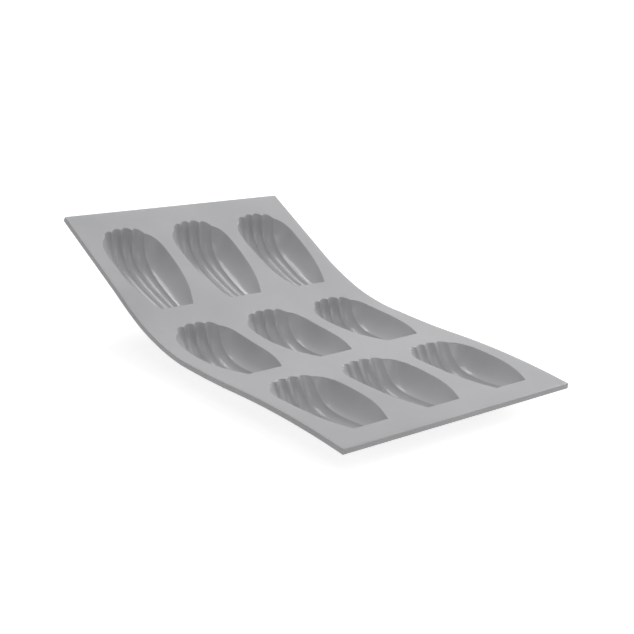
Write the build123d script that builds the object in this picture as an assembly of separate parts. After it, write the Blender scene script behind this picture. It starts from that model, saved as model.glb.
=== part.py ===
from build123d import *
from math import atan2, cos, degrees, exp, radians, sin, sqrt, tan
import os

# A flexible mould for nine madeleines: a thin sheet with three rows of shell-shaped pockets.
# Front is the edge near the viewer, X runs across the sheet and Y from front to back.

# Pockets, seen from above: a scalloped wide end at the back and a straight narrow end in front.
pocket_length = 78.0
pocket_width = 46.0
pocket_depth = 19.0
pocket_wall = 2.0
narrow_end_width = 24.0
narrow_end_depth = 8.0
narrow_end_draft = 12.0
wide_wall_run = 8.5
widest_from_middle = 2.0

# Sheet round the pockets.
sheet_thickness = 3.5
side_margin = 10.0
end_margin = 16.0
column_gap = 9.0
row_gap = 17.0
web_clearance = 1.0

# Bend of the sheet as it lies, in degrees for each stretch from front to back, upwards positive.
# The middle row bends mostly in its back half, and the back row only in its first stretch.
front_row_turn = -8.3
front_web_turn = 1.0
middle_row_front_turn = 3.3
middle_row_back_turn = 14.9
back_web_turn = 4.9
back_row_bend_turn = 5.0
back_row_bend_length = 24.0

# Twist of the back row against the front, spread evenly from the middle row's middle to the flat end.
sheet_twist = 2.7

# Five ridges run the length of a pocket: the middle one, an inner pair and an outer pair.
# Shares of the half width, half narrow end, length and depth of the pocket.
ridge_rim_shares = (0.0, 0.339, 0.67)
ridge_end_shares = (0.0, 0.41, 0.64)
ridge_setback_shares = (0.036, 0.049, 0.103)
ridge_depth_shares = (1.02, 1.0, 0.83)
ridge_end_depth_shares = (1.0, 0.97, 0.81)

# Depth of a flute below its two ridges, and how steeply it leaves them, as shares of its width.
flute_depth_share = 0.3
flute_side_share = 0.2

# The two side lobes rise from the outer ridges to the rim in one smooth curve.
side_wall_slope = 76.0
lobe_floor_slope = 12.0
lobe_rim_slope = 52.0
lobe_floor_share = 0.2
lobe_wall_share = 0.5
narrow_side_power = 3.0
wide_side_power = 4.2

# The shape that cuts a pocket stands proud of the sheet by cut_height and is lofted through the stations.
cut_height = 18.0
cut_overrun = 2.0
station_count = 18
plate_station_count = 5
levelling_rounds = 6

half_length = pocket_length / 2
half_width = pocket_width / 2
half_end = narrow_end_width / 2
row_land = pocket_wall + web_clearance
row_length = pocket_length + 2 * row_land
web_length = row_gap - 2 * row_land
end_row_length = row_length + end_margin - row_land
twist_rate = sheet_twist / (row_length / 2 + web_length + back_row_bend_length)
column_pitch = pocket_width + column_gap
sheet_width = 3 * pocket_width + 2 * column_gap + 2 * side_margin


def ridge_place(rank, station):
    """Distance of a ridge from the pocket's centre line."""
    rim = half_length - ridge_setback_shares[rank] * pocket_length
    share = (station + half_length) / (rim + half_length)
    end_x = ridge_end_shares[rank] * half_end
    return end_x + share * (ridge_rim_shares[rank] * half_width - end_x)


def ridge_depth(rank, station):
    """Depth of a ridge under the sheet's top: a steep wide end, then a floor rising to the narrow end."""
    rim = half_length - ridge_setback_shares[rank] * pocket_length
    deep = ridge_depth_shares[rank] * pocket_depth
    end_deep = ridge_end_depth_shares[rank] * narrow_end_depth
    run = rim - station
    if run < 0:
        return run * deep / wide_wall_run
    floor = deep - (deep - end_deep) * (run / (rim + half_length)) ** 2
    return floor * (1 - exp(-run / wide_wall_run))


def stretched(rank, station):
    """How much longer a depth is on an upright section than square to a ridge's fall."""
    step = wide_wall_run / 10
    fall = (ridge_depth(rank, station + step) - ridge_depth(rank, station - step)) / (2 * step)
    return sqrt(1 + fall**2)


def ridge_point(rank, side, station, skin):
    """A ridge's point on the section at a station, pushed out by the wall for the pocket's outside."""
    depth = ridge_depth(rank, station) + skin * stretched(rank, station)
    return Vector(side * ridge_place(rank, station), 0, -depth)


def side_line(station):
    """Half the pocket's width where its side walls reach the top of the cutting shape."""
    flare = cut_height / tan(radians(side_wall_slope))
    away = station - widest_from_middle
    if away < 0:
        drop = (half_width - half_end) * (-away / (half_length + widest_from_middle)) ** narrow_side_power
    else:
        reach = half_length + cut_overrun - widest_from_middle
        outer_ridge = ridge_rim_shares[2] * half_width
        drop = (half_width + flare - outer_ridge) * (away / reach) ** wide_side_power
    return half_width + flare - drop


def lobe_curve(side, station, skin):
    """The side lobe's line from the outer ridge up to the top of the cutting shape."""
    foot = ridge_point(2, side, station, skin)
    top_x = side_line(station) + skin / sin(radians(side_wall_slope))
    top = Vector(side * top_x, 0, cut_height)
    chord = (top - foot).length
    rim = half_length - ridge_setback_shares[2] * pocket_length
    near_rim = exp(-max(rim - station, 0) / wide_wall_run)
    foot_slope = radians(lobe_floor_slope + (lobe_rim_slope - lobe_floor_slope) * near_rim)
    wall_slope = radians(side_wall_slope)
    foot_pull = lobe_floor_share * chord
    wall_pull = lobe_wall_share * chord
    after_foot = foot + Vector(side * foot_pull * cos(foot_slope), 0, foot_pull * sin(foot_slope))
    before_top = top - Vector(side * wall_pull * cos(wall_slope), 0, wall_pull * sin(wall_slope))
    return [foot, after_foot, before_top, top]


def flute_curve(start, end, stretch_up):
    """A hollow between two ridges, with its deepest point in the middle."""
    chord = end - start
    control_depth = 4 / 3 * flute_depth_share * chord.X * stretch_up
    side = chord * flute_side_share
    down = Vector(0, 0, -control_depth)
    return Bezier(start, start + side + down, end - side + down, end)


def pocket_section(station, skin):
    """Closed outline across a pocket: a lobe, four flutes, the other lobe and a straight top."""
    left = lobe_curve(-1, station, skin)
    right = lobe_curve(1, station, skin)
    ridges = [ridge_point(rank, -1, station, skin) for rank in (2, 1, 0)]
    ridges += [ridge_point(rank, 1, station, skin) for rank in (1, 2)]
    stretch_up = stretched(1, station)
    edges = [Bezier(*reversed(left))]
    edges += [flute_curve(a, b, stretch_up) for a, b in zip(ridges, ridges[1:])]
    edges.append(Bezier(*right))
    edges.append(Line(right[-1], left[-1]))
    return Wire(edges)


def arc_place(arc, distance):
    """The sheet's own frame at a distance along one arc: X across, Y onwards, Z out of the top."""
    length, turn, twist = arc
    y, z = distance, 0
    if turn != 0:
        radius = length / radians(turn)
        y = radius * sin(distance / radius)
        z = radius * (1 - cos(distance / radius))
    share = distance / length
    return Location((0, y, z), (turn * share, 0, 0)) * Rot(0, twist * share, 0)


def bend_place(stretch, distance):
    """The sheet's own frame at a distance along a stretch, which is one or more arcs."""
    place = Location()
    for arc in stretch:
        step = min(distance, arc[0])
        place *= arc_place(arc, step)
        distance -= step
    return place


def arc_plate(arc, top, bottom, width):
    """A plate between two heights along one arc: an extrusion, or a loft where the arc twists."""
    length, turn, twist = arc
    if twist != 0:
        cross = Plane.XZ * Pos(0, (top + bottom) / 2, 0) * Rectangle(width, top - bottom)
        last = plate_station_count - 1
        return loft([arc_place(arc, length * i / last) * cross for i in range(plate_station_count)])
    lines = []
    for height in (top, bottom):
        points = [(arc_place(arc, length * share) * Pos(0, 0, height)).position for share in (0, 0.5, 1)]
        lines.append(ThreePointArc(*points) if turn != 0 else Line(points[0], points[2]))
    upper, lower = lines
    ends = [Line(upper @ 0, lower @ 0), Line(upper @ 1, lower @ 1)]
    return extrude(Face(Wire([upper, lower, *ends])), width / 2, dir=(1, 0, 0), both=True)


def plate(stretch, top, bottom, width):
    """A plate between two heights along a whole stretch."""
    pieces = []
    start = 0
    for arc in stretch:
        pieces.append(bend_place(stretch, start) * arc_plate(arc, top, bottom, width))
        start += arc[0]
    return sum(pieces[1:], pieces[0])


def pocket_form(stretch, middle, across, skin):
    """The solid that a pocket's inside, or with a skin its outside, is cut from, bent with the sheet."""
    first = bend_place(stretch, middle - half_length - skin / cos(radians(narrow_end_draft)))
    sections = [first * Pos(across, 0, 0) * Rot(narrow_end_draft, 0, 0) * pocket_section(-half_length, skin)]
    span = pocket_length + cut_overrun
    for i in range(2, station_count):
        station = span * i / (station_count - 1) - half_length
        place = bend_place(stretch, middle + station) * Pos(across, 0, 0)
        sections.append(place * pocket_section(station, skin))
    return Solid.make_loft(sections)


def row(stretch, middle):
    """A row's piece of sheet and its three cups, in the frame of the row's front end."""
    under = plate(stretch, -sheet_thickness, -sheet_thickness - 2 * pocket_depth, sheet_width + 2 * cut_overrun)
    sheet = plate(stretch, 0, -2 * sheet_thickness, sheet_width) - under
    cups = {}
    for name, across in columns.items():
        inside = pocket_form(stretch, middle, across, 0)
        outside = pocket_form(stretch, middle, across, pocket_wall)
        cups[name] = (outside & under) - inside
        sheet -= inside
    return sheet, cups


def lowest_points(stretch, middle, start):
    """Points along the underside of a row's cups, as Y and Z in the sheet's frame."""
    points = []
    for i in range(station_count):
        station = half_length * (2 * i / station_count - 1)
        ridges = [ridge_point(rank, 1, station, pocket_wall) for rank in (0, 1)]
        flute_depth = flute_depth_share * ridges[1].X * stretched(1, station)
        low = (ridges[0].Z + ridges[1].Z) / 2 - flute_depth
        for across in columns.values():
            point = (start * bend_place(stretch, middle + station) * Pos(across, 0, low)).position
            points.append((point.Y, point.Z))
    return points


columns = {"left": -column_pitch, "centre": 0, "right": column_pitch}

# Stretches of the sheet from front to back, each as arcs of a length, a turn and a twist.
front_row = [(end_row_length, front_row_turn, 0)]
front_web = [(web_length, front_web_turn, 0)]
middle_row = [
    (row_length / 2, middle_row_front_turn, 0),
    (row_length / 2, middle_row_back_turn, twist_rate * row_length / 2),
]
back_web = [(web_length, back_web_turn, twist_rate * web_length)]
back_row = [
    (back_row_bend_length, back_row_bend_turn, twist_rate * back_row_bend_length),
    (end_row_length - back_row_bend_length, 0, 0),
]

# Each stretch starts where the one before it ends.
front_row_start = Location()
front_web_start = front_row_start * bend_place(front_row, end_row_length)
middle_row_start = front_web_start * bend_place(front_web, web_length)
back_web_start = middle_row_start * bend_place(middle_row, row_length)
back_row_start = back_web_start * bend_place(back_web, web_length)

front_middle = end_margin + half_length
inner_middle = row_land + half_length

# The mould lies on the cups of its front and middle rows, so the sheet is tipped until both are level.
front_points = lowest_points(front_row, front_middle, front_row_start)
middle_points = lowest_points(middle_row, inner_middle, middle_row_start)
tip = 0.0
for i in range(levelling_rounds):
    tilt = radians(tip)
    front_low = min(front_points, key=lambda p: p[0] * sin(tilt) + p[1] * cos(tilt))
    middle_low = min(middle_points, key=lambda p: p[0] * sin(tilt) + p[1] * cos(tilt))
    tip = -degrees(atan2(middle_low[1] - front_low[1], middle_low[0] - front_low[0]))

nodes = {}
front_sheet, front_cups = row(front_row, front_middle)
middle_sheet, middle_cups = row(middle_row, inner_middle)
back_sheet, back_cups = row(back_row, inner_middle)
nodes["front_sheet"] = front_row_start * front_sheet
nodes["front_web"] = front_web_start * plate(front_web, 0, -sheet_thickness, sheet_width)
nodes["middle_sheet"] = middle_row_start * middle_sheet
nodes["back_web"] = back_web_start * plate(back_web, 0, -sheet_thickness, sheet_width)
nodes["back_sheet"] = back_row_start * back_sheet
for row_name, start, cups in (
    ("front", front_row_start, front_cups),
    ("middle", middle_row_start, middle_cups),
    ("back", back_row_start, back_cups),
):
    for name, cup in cups.items():
        nodes[f"{row_name}_{name}_cup"] = start * cup

# The origin is under the middle of the mould, on the surface that it stands on.
tipped = {name: Rot(tip, 0, 0) * shape for name, shape in nodes.items()}
boxes = [shape.bounding_box() for shape in tipped.values()]
low = [min(tuple(box.min)[i] for box in boxes) for i in range(3)]
high = [max(tuple(box.max)[i] for box in boxes) for i in range(3)]
ground = Pos(-(low[0] + high[0]) / 2, -(low[1] + high[1]) / 2, -low[2])
os.makedirs("parts", exist_ok=True)
for name, shape in tipped.items():
    export_step(ground * shape, f"parts/{name}.step")

# Overall size, and the bend line in the middle of each web.
sizes = [top - bottom for bottom, top in zip(low, high)]
print(f"tip {tip:.3f} degrees, width {sizes[0]:.2f}, depth {sizes[1]:.2f}, height {sizes[2]:.2f}")
webs = {"front_web": (front_web_start, front_web), "back_web": (back_web_start, back_web)}
for name, (start, stretch) in webs.items():
    middle = bend_place(stretch, web_length / 2) * Pos(0, 0, -sheet_thickness / 2)
    pivot = ground * Rot(tip, 0, 0) * start * middle
    print(name, "bend line", pivot.position, "along", Plane(pivot).x_dir)
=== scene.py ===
import bpy
import bmesh
from math import cos, exp, radians, sin, sqrt, tan
from mathutils import Matrix, Vector


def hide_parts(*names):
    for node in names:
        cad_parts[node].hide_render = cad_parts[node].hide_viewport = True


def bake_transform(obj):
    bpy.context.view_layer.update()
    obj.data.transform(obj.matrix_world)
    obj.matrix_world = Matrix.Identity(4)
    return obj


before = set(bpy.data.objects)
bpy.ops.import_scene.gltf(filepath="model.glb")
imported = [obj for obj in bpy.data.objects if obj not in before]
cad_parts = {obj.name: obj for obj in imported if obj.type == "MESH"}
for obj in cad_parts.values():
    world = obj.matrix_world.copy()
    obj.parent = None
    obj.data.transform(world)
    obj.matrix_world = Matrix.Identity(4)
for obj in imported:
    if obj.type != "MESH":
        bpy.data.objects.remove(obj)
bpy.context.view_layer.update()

# The front of the mould: the sheet's front row of three pockets and the bending strip behind it,
# one compression moulding of food-grade silicone with the rest, cut square at its edges. The whole
# sheet lies in a soft bend, nearly flat in front and standing up behind. Sizes are in millimetres.
mm = 0.001
sheet_thickness = 3.5
side_margin = 10.0
end_margin = 16.0
row_land = 3.0
web_length = 11.0
column_pitch = 55.0
pocket_length = 78.0
half_length = pocket_length / 2
row_length = pocket_length + 2 * row_land
end_row_length = row_length + end_margin - row_land

# Each stretch of the sheet from front to back: its length, and its turn and twist in degrees.
back_row_bend_length = 24.0
twist_rate = 2.7 / (row_length / 2 + web_length + back_row_bend_length)
stretches = [
    (end_row_length, -8.3, 0.0),
    (web_length, 1.0, 0.0),
    (row_length / 2, 3.3, 0.0),
    (row_length / 2, 14.9, twist_rate * row_length / 2),
    (web_length, 4.9, twist_rate * web_length),
    (back_row_bend_length, 5.0, twist_rate * back_row_bend_length),
    (end_row_length - back_row_bend_length, 0.0, 0.0),
]

# How many degrees it leans forward as it rests, and where the middle of its front edge's top lies.
sheet_tip = 6.161018
sheet_shift = Vector((-0.152365, -145.733, 17.2444))


def bend_place(stretch, distance):
    """The sheet's own frame along a stretch: X across, Y onwards, Z out of the top."""
    length, turn, twist = stretch
    y, z = distance, 0.0
    if turn != 0:
        radius = length / radians(turn)
        y = radius * sin(distance / radius)
        z = radius * (1 - cos(distance / radius))
    share = distance / length
    tilt = Matrix.Rotation(radians(turn * share), 4, "X")
    return Matrix.Translation((0, y, z)) @ tilt @ Matrix.Rotation(radians(twist * share), 4, "Y")


stretch_starts = [Matrix.Translation(sheet_shift) @ Matrix.Rotation(radians(sheet_tip), 4, "X")]
for stretch in stretches[:-1]:
    stretch_starts.append(stretch_starts[-1] @ bend_place(stretch, stretch[0]))


def on_sheet(across, along, height):
    """A point of the bent sheet, in metres: across, along from the front edge, over its top."""
    number = 0
    while number < len(stretches) - 1 and along > stretches[number][0]:
        along -= stretches[number][0]
        number += 1
    place = stretch_starts[number] @ bend_place(stretches[number], along)
    return place @ Vector((across, 0, height)) * mm


# A pocket is a shell: five ridges run its length between four flutes, and a smooth lobe rises at
# each side. The wide end is steep and scalloped, and the narrow end is a plain, drafted wall. The
# cup under it is the same form, a wall's thickness further out: skin is that thickness, or 0 for
# the pocket itself, and level is the height of the face that the form opens in. Ridges are ranked
# from the centre line outwards, and a station is a place along the pocket from its middle.
pocket_depth = 19.0
pocket_wall = 2.0
half_width = 23.0
half_end = 12.0
narrow_end_depth = 8.0
narrow_end_draft = radians(12)
wide_wall_run = 8.5
widest_from_middle = 2.0
ridge_rim_shares = (0.0, 0.339, 0.67)
ridge_end_shares = (0.0, 0.41, 0.64)
ridge_setback_shares = (0.036, 0.049, 0.103)
ridge_depth_shares = (1.02, 1.0, 0.83)
ridge_end_depth_shares = (1.0, 0.97, 0.81)
flute_depth_share = 0.3
flute_side_share = 0.2
side_wall_slope = radians(76)
lobe_floor_slope = radians(12)
lobe_rim_slope = radians(52)
lobe_floor_share = 0.2
lobe_wall_share = 0.5
lobe_top = 18.0
lobe_overrun = 2.0
narrow_side_power = 3.0
wide_side_power = 4.2
ridge_round = 0.25
rim_round = 0.35
heel_round = 1.5


def ridge_depth(rank, station):
    """A ridge's depth: a steep wide end, then a floor that rises towards the narrow end."""
    rim = half_length - ridge_setback_shares[rank] * pocket_length
    deep = ridge_depth_shares[rank] * pocket_depth
    end_deep = ridge_end_depth_shares[rank] * narrow_end_depth
    run = rim - station
    if run < 0:
        return run * deep / wide_wall_run
    floor = deep - (deep - end_deep) * (run / (rim + half_length)) ** 2
    return floor * (1 - exp(-run / wide_wall_run))


def stretched(rank, station):
    """How much longer a depth is on an upright section than square to a ridge's fall."""
    step = wide_wall_run / 10
    fall = (ridge_depth(rank, station + step) - ridge_depth(rank, station - step)) / (2 * step)
    return sqrt(1 + fall**2)


def ridge_point(rank, station, skin):
    """A ridge's point, as its distance from the centre line and its height, on the right side."""
    rim = half_length - ridge_setback_shares[rank] * pocket_length
    share = (station + half_length) / (rim + half_length)
    end_x = ridge_end_shares[rank] * half_end
    across = end_x + share * (ridge_rim_shares[rank] * half_width - end_x)
    return Vector((across, -ridge_depth(rank, station) - skin * stretched(rank, station)))


def side_line(station):
    """Half the pocket's width where its side walls would reach lobe_top over the sheet."""
    flare = lobe_top / tan(side_wall_slope)
    away = station - widest_from_middle
    if away < 0:
        share = -away / (half_length + widest_from_middle)
        drop = (half_width - half_end) * share**narrow_side_power
    else:
        share = away / (half_length + lobe_overrun - widest_from_middle)
        drop = (half_width + flare - ridge_rim_shares[2] * half_width) * share**wide_side_power
    return half_width + flare - drop


def lobe_corners(station, skin):
    """The four control points of the lobe's curve, from the outer ridge to the top."""
    foot = ridge_point(2, station, skin)
    top = Vector((side_line(station) + skin / sin(side_wall_slope), lobe_top))
    chord = (top - foot).length
    rim = half_length - ridge_setback_shares[2] * pocket_length
    near_rim = exp(-max(rim - station, 0) / wide_wall_run)
    foot_slope = lobe_floor_slope + (lobe_rim_slope - lobe_floor_slope) * near_rim
    after_foot = foot + lobe_floor_share * chord * Vector((cos(foot_slope), sin(foot_slope)))
    wall_way = Vector((cos(side_wall_slope), sin(side_wall_slope)))
    before_top = top - lobe_wall_share * chord * wall_way
    return foot, after_foot, before_top, top


def flute_corners(start, end, stretch_up):
    """The four control points of the hollow between two ridges."""
    chord = end - start
    side = chord * flute_side_share
    down = Vector((0, -4 / 3 * flute_depth_share * chord.x * stretch_up))
    return start, start + side + down, end - side + down, end


def curve_point(corners, share):
    """The point at a share of the way along a curve with four control points."""
    rest = 1 - share
    a, b, c, d = corners
    return rest**3 * a + 3 * rest**2 * share * b + 3 * rest * share**2 * c + share**3 * d


def curve_way(corners, share):
    """The direction and speed of such a curve at that point."""
    rest = 1 - share
    a, b, c, d = corners
    return 3 * rest**2 * (b - a) + 6 * rest * share * (c - b) + 3 * share**2 * (d - c)


def rounded_crest(before, before_way, after, after_way, share):
    """A point of the rounding that joins two hollows over a ridge."""
    gap = after - before
    turn = before_way.x * after_way.y - before_way.y * after_way.x
    reach = (gap.x * after_way.y - gap.y * after_way.x) / turn
    tip = before + before_way * reach
    return (1 - share)**2 * before + 2 * share * (1 - share) * tip + share**2 * after


def solved(low, high, test):
    """The place between low and high where test turns from false to true."""
    for _ in range(30):
        middle = (low + high) / 2
        if test(middle):
            high = middle
        else:
            low = middle
    return (low + high) / 2


# Lines that run down a pocket, from its centre line to its side: rounded ridges, flutes, a lobe.
crest_steps = 4
flute_steps = 8
lobe_steps = 10
middle_lines = crest_steps // 2 + 2 * (flute_steps + crest_steps)
half_lines = middle_lines + lobe_steps + 1


def half_section(station, skin):
    """Half a section across the pocket, without its lobe, and what the lobe needs."""
    ridges = [ridge_point(rank, station, skin) for rank in (0, 1, 2)]
    stretch_up = stretched(1, station)
    flutes = [flute_corners(start, end, stretch_up) for start, end in zip(ridges, ridges[1:])]
    lobe = lobe_corners(station, skin)
    trims = [
        solved(0, 0.5, lambda share: (curve_point(line, share) - line[0]).length > ridge_round)
        for line in (*flutes, lobe)
    ]
    inner, outer, lobe_start = trims
    cuts = (
        (flutes[0], inner), (flutes[0], 1 - inner),
        (flutes[1], outer), (flutes[1], 1 - outer),
        (lobe, lobe_start),
    )
    ends = [(curve_point(line, share), curve_way(line, share)) for line, share in cuts]
    place, way = ends[0]
    crests = [
        (Vector((-place.x, place.y)), Vector((way.x, -way.y)), place, way),
        (*ends[1], *ends[2]),
        (*ends[3], *ends[4]),
    ]
    points = []
    for number, crest in enumerate(crests):
        first = crest_steps // 2 if number == 0 else 0
        points += [rounded_crest(*crest, k / crest_steps) for k in range(first, crest_steps + 1)]
        if number < 2:
            for k in range(1, flute_steps):
                share = trims[number] + (1 - 2 * trims[number]) * k / flute_steps
                points.append(curve_point(flutes[number], share))
    return points, lobe, lobe_start


rim_round_most_share = 0.3


def lobe_line_point(station, skin, level, share):
    """A point of the lobe, by its share of the way from the outer ridge's rounding to the rim."""
    _, lobe, start = half_section(station, skin)
    rim = solved(start, 1, lambda place: curve_point(lobe, place).y > level)
    rounding = min(rim_round / curve_way(lobe, rim).length, rim_round_most_share * (rim - start))
    if share > 1:
        return curve_point(lobe, rim)
    return curve_point(lobe, start + share * (rim - rounding - start))


# Rows that run across a pocket, from the narrow end's rim to the wide end's.
wall_rows = 2
heel_rows = 4
floor_rows = 38

# A lobe's lines end up to the drop short of the ridges' end, and past the share of their length
# they close in on the rim.
shoulder_drop = 7.0
shoulder_share = 0.72

# Where the narrow end's wall is low, the roundings at its foot and rim take these shares of its
# fall at most. The last two are the least step between rows and the last row's share of rim_round.
heel_most_share = 0.45
heel_least = 0.1
wall_foot_most_share = 0.6
wall_rim_most_share = 0.2
fall_least = 0.001
row_step_least = 0.02
last_row_share = 0.45


def pocket_line(number, skin, level):
    """One line down the pocket: points (across, along, height) from the pocket's middle."""
    start = -half_length - skin / cos(narrow_end_draft)
    lobe_share = (number - middle_lines) / lobe_steps

    def middle_point(station):
        return half_section(max(station, -half_length), skin)[0][min(number, middle_lines)]

    end = solved(0, half_length + lobe_overrun, lambda place: middle_point(place).y > level)
    if lobe_share > 0:
        end -= shoulder_drop * min(lobe_share, 1)

    def surface(share):
        station = start + share * (end - start)
        if lobe_share <= 0:
            return station, middle_point(station)
        pull = max(share - shoulder_share, 0) / (1 - shoulder_share)
        pull = pull * pull * (3 - 2 * pull)
        place = lobe_share + (1 - lobe_share) * pull if lobe_share < 1 else lobe_share
        return station, lobe_line_point(max(station, -half_length), skin, level, place)

    # The narrow end's wall stands on the floor's end, with a rounded heel between them.
    floor_end = surface(0)[1]
    fall = level - floor_end.y
    lean = tan(narrow_end_draft)
    heel = Vector((start - level * lean + fall * lean, floor_end.y))
    up = Vector((-sin(narrow_end_draft), cos(narrow_end_draft)))
    heel_size = min(heel_round + skin, heel_most_share * fall + heel_least)
    span = end - start
    after = (heel.x + heel_size - start) / span
    after_station, after_point = surface(after)
    rim = Vector((start - level * lean, level))
    wall_foot = heel + up * min(heel_size, wall_foot_most_share * fall)
    points = [(floor_end.x, rim.x, rim.y)]
    low = min(rim_round, wall_rim_most_share * fall) / max(fall, fall_least)
    for k in range(wall_rows + 1):
        share = low + (1 - low) * k / wall_rows
        place = rim.lerp(wall_foot, share)
        points.append((floor_end.x, place.x + row_step_least * (k + 1), place.y))
    floor_x = after_point.x
    for k in range(1, heel_rows + 1):
        share = k / heel_rows
        base = Vector((after_station, after_point.y))
        place = (1 - share)**2 * wall_foot + 2 * share * (1 - share) * heel + share**2 * base
        across = floor_end.x + (floor_x - floor_end.x) * share**2
        points.append((across, max(place.x, points[-1][1] + row_step_least), place.y))
    last = 1 - last_row_share * rim_round / span
    for k in range(1, floor_rows):
        share = after + (last - after) * k / (floor_rows - 1)
        station, point = surface(share)
        points.append((point.x, station, point.y))
    station, point = surface(1)
    points.append((point.x, station, level))
    return points


def pocket_lines(skin, level):
    """All lines of a pocket from left to right."""
    right = [pocket_line(number, skin, level) for number in range(half_lines + 1)]
    left = [[(-x, y, z) for x, y, z in line] for line in reversed(right[1:])]
    return left + right


# Round each pocket the sheet's face is laid out in rings, out to the borders of the pocket's share.
ring_sizes = (rim_round, 0.8)
ring_count = 4
half_pitch = column_pitch / 2
half_row = row_length / 2


def pocket_share(skin, level):
    """A grid of points for one pocket and the face round it: columns of (across, along, height)."""
    lines = pocket_lines(skin, level)
    columns = len(lines) + 2 * ring_count
    rows = len(lines[0]) + 2 * ring_count

    def border(i, j):
        across = column_pitch * i / (columns - 1) - half_pitch
        along = row_length * j / (rows - 1) - half_row
        return Vector((across, along, level))

    def weight(step, reach):
        if step <= len(ring_sizes):
            return ring_sizes[step - 1] / reach
        inner = ring_sizes[-1] / reach
        return inner + (1 - inner) * (step - len(ring_sizes)) / (ring_count - len(ring_sizes))

    grid = []
    for i in range(columns):
        column = []
        for j in range(rows):
            block_i = min(max(i - ring_count, 0), len(lines) - 1)
            block_j = min(max(j - ring_count, 0), len(lines[0]) - 1)
            rim = Vector(lines[block_i][block_j])
            step_i = abs(i - ring_count - block_i)
            step_j = abs(j - ring_count - block_j)
            edge_i = 0 if i < ring_count else columns - 1
            edge_j = 0 if j < ring_count else rows - 1
            side = border(edge_i, block_j + ring_count)
            end = border(block_i + ring_count, edge_j)
            a = weight(step_i, (side - rim).length) if step_i else 0
            b = weight(step_j, (end - rim).length) if step_j else 0
            corner = border(edge_i, edge_j)
            column.append(
                (1 - a) * (1 - b) * rim + a * (1 - b) * side + (1 - a) * b * end + a * b * corner
            )
        grid.append(column)

    # Each rim point moves half of the way to the middle between its neighbours on both sides.
    first, last_i, last_j = ring_count, columns - 1 - ring_count, rows - 1 - ring_count
    rounded = {}
    for i in range(first, last_i + 1):
        for j in (first, last_j):
            rounded[i, j] = (grid[i][j - 1] + grid[i][j + 1]) / 4 + grid[i][j] / 2
    for j in range(first + 1, last_j):
        for i in (first, last_i):
            rounded[i, j] = (grid[i - 1][j] + grid[i + 1][j]) / 4 + grid[i][j] / 2
    for (i, j), place in rounded.items():
        grid[i][j] = place
    return grid


# Beside the outer pockets' shares the sheet goes on to the end of its side margin. The strips at
# its front and back edges and between its rows are laid out in steps of their own.
margin_steps = (1.5, 3.5, side_margin + half_width - half_pitch)
edge_steps = 4
web_steps = 12


def row_of_pockets(skin, level):
    """Rows of points across the whole sheet for one row of pockets, from its front to its back."""
    grid = pocket_share(skin, level)
    rows = []
    for j in range(len(grid[0])):
        row = []
        for number in (-1, 0, 1):
            cell = [column[j] + Vector((number * column_pitch, 0, 0)) for column in grid]
            row += cell if number == -1 else cell[1:]
        left = [row[0] - Vector((step, 0, 0)) for step in reversed(margin_steps)]
        right = [row[-1] + Vector((step, 0, 0)) for step in margin_steps]
        rows.append(left + row + right)
    return rows


def plain_rows(first, last, steps):
    """Rows of points between two rows, without either of them."""
    return [[a.lerp(b, k / steps) for a, b in zip(first, last)] for k in range(1, steps)]


def moved(row, along):
    """A row of points, moved along the sheet."""
    return [point + Vector((0, along, 0)) for point in row]


def skin_object(name, rows):
    """A grid primitive whose points are laid on the rows."""
    bpy.ops.object.select_all(action="DESELECT")
    across, onwards = len(rows[0]) - 1, len(rows) - 1
    bpy.ops.mesh.primitive_grid_add(x_subdivisions=across, y_subdivisions=onwards, size=1)
    skin = bpy.context.object
    skin.name = name
    order = sorted(skin.data.vertices, key=lambda v: (round(v.co.y, 5), v.co.x))
    flat = [point for row in rows for point in row]
    for vertex, point in zip(order, flat):
        vertex.co = on_sheet(*point)
    return skin


# Mesh edges beyond these places across and along the world belong to the sheet's edge band. Its
# sharp ones are rounded, but not beside the seam, where the two pieces meet face to face.
edge_round = 0.35
side_edge_from = 87.5
front_edge_before = -145.0
back_edge_from = 140.0
seam_clearance = 1.0
sharp_angle = radians(70)
smooth_angle = radians(50)


def mould_piece(name, layout, seam_along):
    """A closed piece of the mould: its top, its underside and the edge band between them."""
    top = skin_object(name, layout(0.0, 0.0))
    skin_object(name + "_under", layout(pocket_wall, -sheet_thickness))
    bpy.ops.object.mode_set(mode="EDIT")
    bpy.ops.mesh.select_all(action="SELECT")
    bpy.ops.mesh.flip_normals()
    bpy.ops.object.mode_set(mode="OBJECT")
    top.select_set(True)
    bpy.context.view_layer.objects.active = top
    bpy.ops.object.join()
    bpy.ops.object.mode_set(mode="EDIT")
    bpy.ops.mesh.select_mode(type="EDGE")
    bpy.ops.mesh.select_all(action="DESELECT")
    bpy.ops.mesh.select_non_manifold()
    bpy.ops.mesh.bridge_edge_loops()
    bpy.ops.mesh.select_all(action="SELECT")
    bpy.ops.mesh.normals_make_consistent(inside=False)
    bpy.ops.mesh.select_all(action="DESELECT")
    body = bmesh.from_edit_mesh(top.data)
    seam = on_sheet(0, seam_along, 0)
    for edge in body.edges:
        middle = (edge.verts[0].co + edge.verts[1].co) / 2
        beside = abs(middle.x) > side_edge_from * mm
        outer = beside or middle.y < front_edge_before * mm or middle.y > back_edge_from * mm
        sharp = edge.calc_face_angle(0) > sharp_angle
        edge.select = outer and sharp and abs(middle.y - seam.y) > seam_clearance * mm
    bmesh.update_edit_mesh(top.data)
    bpy.ops.mesh.bevel(offset=edge_round * mm, segments=2, affect="EDGES")
    bpy.ops.object.mode_set(mode="OBJECT")
    bpy.ops.object.shade_smooth_by_angle(angle=smooth_angle)
    top.data.materials.clear()
    top.data.materials.append(silicone)
    return top


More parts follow.
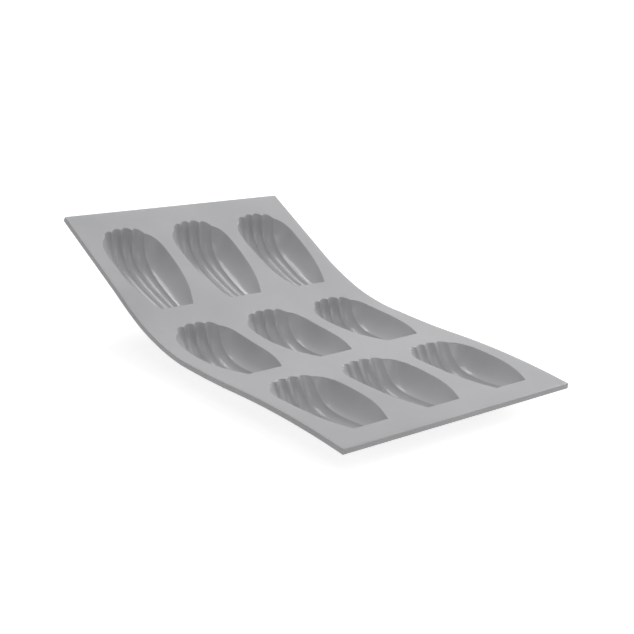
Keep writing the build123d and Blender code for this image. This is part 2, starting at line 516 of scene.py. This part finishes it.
# The silicone is one light neutral grey all through, with a satin face.
silicone = bpy.data.materials.new("grey_silicone")
silicone.use_nodes = True
nodes = silicone.node_tree.nodes
links = silicone.node_tree.links
shader = nodes["Principled BSDF"]
shader.inputs["Specular IOR Level"].default_value = 0.28
shader.inputs["Coat Weight"].default_value = 0.36
shader.inputs["Coat Roughness"].default_value = 0.16
place = nodes.new("ShaderNodeTexCoord")

# Soft patches where the face is a little paler and smoother, and others where it is duller.
patches = nodes.new("ShaderNodeTexNoise")
patches.inputs["Scale"].default_value = 22
patches.inputs["Detail"].default_value = 4
links.new(place.outputs["Object"], patches.inputs["Vector"])
tone = nodes.new("ShaderNodeValToRGB")
tone.color_ramp.elements[0].position = 0.3
tone.color_ramp.elements[0].color = (0.395, 0.397, 0.405, 1)
tone.color_ramp.elements[1].position = 0.7
tone.color_ramp.elements[1].color = (0.445, 0.447, 0.455, 1)
links.new(patches.outputs["Fac"], tone.inputs["Fac"])
links.new(tone.outputs["Color"], shader.inputs["Base Color"])
gloss = nodes.new("ShaderNodeMapRange")
gloss.inputs["From Min"].default_value = 0.3
gloss.inputs["From Max"].default_value = 0.7
gloss.inputs["To Min"].default_value = 0.48
gloss.inputs["To Max"].default_value = 0.56
links.new(patches.outputs["Fac"], gloss.inputs["Value"])
links.new(gloss.outputs["Result"], shader.inputs["Roughness"])

# The fine grain that the mould's steel tool leaves on silicone, under half a millimetre.
grain = nodes.new("ShaderNodeTexNoise")
grain.inputs["Scale"].default_value = 2600
grain.inputs["Detail"].default_value = 4
bump = nodes.new("ShaderNodeBump")
bump.inputs["Strength"].default_value = 0.12
bump.inputs["Distance"].default_value = 0.00006
links.new(place.outputs["Object"], grain.inputs["Vector"])
links.new(grain.outputs["Fac"], bump.inputs["Height"])
links.new(bump.outputs["Normal"], shader.inputs["Normal"])


# How far along the sheet the middle of each row lies.
front_along = end_margin + half_length
middle_along = front_along + row_length + web_length
back_along = middle_along + row_length + web_length
sheet_length = back_along + front_along


def front_layout(skin, level):
    """The front row and the strip behind it, as far as the middle row's share."""
    rows = row_of_pockets(skin, level)
    first = moved(rows[0], front_along)
    edge = [Vector((p.x, 0, p.z)) for p in first]
    last = moved(rows[-1], front_along)
    end = moved(rows[0], middle_along)
    front_row = [moved(row, front_along) for row in rows]
    front_edge = [edge] + plain_rows(edge, first, edge_steps)
    return front_edge + front_row + plain_rows(last, end, web_steps) + [end]


seam = middle_along - half_row
front_piece = mould_piece("front_of_mould", front_layout, seam)
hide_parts("front_sheet", "front_web", "front_left_cup", "front_centre_cup", "front_right_cup")
tuple(on_sheet(0, seam, 0))
tuple(on_sheet(0, seam - web_length, 0))
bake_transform(front_piece)

# The back of the mould: the middle row, the strip behind it and the back row, which stands up in a
# slight twist. It is the same silicone moulding, joined to the front along the whole seam.
def back_layout(skin, level):
    """The middle row, the strip behind it and the back row."""
    rows = row_of_pockets(skin, level)
    middle_last = moved(rows[-1], middle_along)
    back_first = moved(rows[0], back_along)
    back_last = moved(rows[-1], back_along)
    edge = [Vector((p.x, sheet_length, p.z)) for p in back_last]
    middle_row = [moved(row, middle_along) for row in rows]
    back_row = [moved(row, back_along) for row in rows]
    strip = plain_rows(middle_last, back_first, web_steps)
    return middle_row + strip + back_row + plain_rows(back_last, edge, edge_steps) + [edge]


back_piece = mould_piece("back_of_mould", back_layout, seam)
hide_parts("middle_sheet", "back_web", "back_sheet", "middle_left_cup", "middle_centre_cup",
            "middle_right_cup", "back_left_cup", "back_centre_cup", "back_right_cup")
tuple(on_sheet(0, seam + row_length, 0))
tuple(on_sheet(0, seam + row_length + web_length, 0))
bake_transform(back_piece)

# The studio floor: a wide roll of white paper. What the camera and the reflections see of it is
# white, but for the mould's own shadow, and from underneath it lets the view through.
floor_size = 40
bpy.ops.object.select_all(action="DESELECT")
bpy.ops.mesh.primitive_plane_add(size=floor_size, location=(0, 0, 0))
floor = bpy.context.object
floor.name = "floor"


def math_node(tree, operation, first, second):
    """The output of a node that does one operation on two values."""
    node = tree.nodes.new("ShaderNodeMath")
    node.operation = operation
    tree.links.new(first, node.inputs[0])
    tree.links.new(second, node.inputs[1])
    return node.outputs[0]


def seen_ray(tree):
    """1 where the camera sees a surface, directly, in a reflection or through glass."""
    path = tree.nodes.new("ShaderNodeLightPath")
    rays = path.outputs
    direct_or_mirrored = math_node(tree, "MAXIMUM", rays["Is Camera Ray"], rays["Is Glossy Ray"])
    return math_node(tree, "MAXIMUM", direct_or_mirrored, rays["Is Transmission Ray"])


paper = bpy.data.materials.new("white_paper")
paper.use_nodes = True
tree = paper.node_tree
seen = seen_ray(tree)
lit = tree.nodes["Principled BSDF"]
lit.inputs["Roughness"].default_value = 0.9
lit.inputs["Specular IOR Level"].default_value = 0.0

# Light that bounces off the paper meets a bright colour. What is seen of it is darker, to leave
# room for the glow. Sockets 6 and 7 of the mix are its two colours.
lit_colour = tree.nodes.new("ShaderNodeMix")
lit_colour.data_type = "RGBA"
lit_colour.inputs[6].default_value = (0.85, 0.85, 0.85, 1)
lit_colour.inputs[7].default_value = (0.45, 0.45, 0.45, 1)
tree.links.new(seen, lit_colour.inputs[0])
tree.links.new(lit_colour.outputs[2], lit.inputs["Base Color"])

# Away from the mould the paper fades into the white of the surround.
place = tree.nodes.new("ShaderNodeTexCoord")
away = tree.nodes.new("ShaderNodeVectorMath")
away.operation = "LENGTH"
tree.links.new(place.outputs["Object"], away.inputs[0])
fade = tree.nodes.new("ShaderNodeMapRange")
fade.interpolation_type = "SMOOTHSTEP"
fade.inputs["From Min"].default_value = 0.25
fade.inputs["From Max"].default_value = 1.6
fade.inputs["To Min"].default_value = 0.84
fade.inputs["To Max"].default_value = 1.0
tree.links.new(away.outputs["Value"], fade.inputs["Value"])
glow = tree.nodes.new("ShaderNodeEmission")
strength = math_node(tree, "MULTIPLY", seen, fade.outputs["Result"])
tree.links.new(strength, glow.inputs["Strength"])
both = tree.nodes.new("ShaderNodeAddShader")
tree.links.new(lit.outputs[0], both.inputs[0])
tree.links.new(glow.outputs[0], both.inputs[1])

# The paper's underside is clear.
side = tree.nodes.new("ShaderNodeNewGeometry")
through = tree.nodes.new("ShaderNodeBsdfTransparent")
one_way = tree.nodes.new("ShaderNodeMixShader")
tree.links.new(side.outputs["Backfacing"], one_way.inputs[0])
tree.links.new(both.outputs[0], one_way.inputs[1])
tree.links.new(through.outputs[0], one_way.inputs[2])
tree.links.new(one_way.outputs[0], tree.nodes["Material Output"].inputs["Surface"])
floor.data.materials.append(paper)

# The surround: white to the camera and in reflections, and dark to the rest of the light.
world = bpy.data.worlds.new("studio")
world.use_nodes = True
tree = world.node_tree
tree.nodes["Background"].inputs["Color"].default_value = (1, 1, 1, 1)
tree.links.new(seen_ray(tree), tree.nodes["Background"].inputs["Strength"])
bpy.context.scene.world = world

# Five softboxes and a small lamp, all square and equally far away: over the mould, to its right,
# to its front right, to its front left and low to its left, and the small one behind it. Each line
# gives the compass turn and the height in degrees, the width in metres and the power.
lamp_distance = 1.5
softboxes = (
    ("top", 0, 68, 0.5, 6.2),
    ("right", 90, 28, 0.7, 9.8),
    ("front_right", 135, 28, 0.7, 5.8),
    ("front_left", 225, 50, 0.7, 5.0),
    ("left", 262, 16, 1.0, 3.4),
    ("back", 14, 54, 0.25, 2.6),
)
for name, turn, height, width, energy in softboxes:
    turn, height = radians(turn), radians(height)
    lamp_data = bpy.data.lights.new(name, "AREA")
    lamp_data.shape = "SQUARE"
    lamp_data.size = width
    lamp_data.energy = energy
    lamp = bpy.data.objects.new(name, lamp_data)
    bpy.context.collection.objects.link(lamp)
    towards = Vector((sin(turn) * cos(height), cos(turn) * cos(height), sin(height)))
    lamp.location = towards * lamp_distance
    lamp.rotation_euler = lamp.location.to_track_quat("Z", "Y").to_euler()

# The camera stands in front of the mould's left corner, in the photograph's place.
camera_data = bpy.data.cameras.new("camera")
camera_data.sensor_width = 36
camera_data.lens = 84.0086
camera = bpy.data.objects.new("camera", camera_data)
bpy.context.collection.objects.link(camera)
camera.location = (-0.559758, -0.682232, 0.325857)
camera.rotation_euler = (radians(71.6799), radians(-2.2808), radians(-39.2155))
bpy.context.scene.camera = camera
bpy.context.scene.view_settings.view_transform = "Standard"
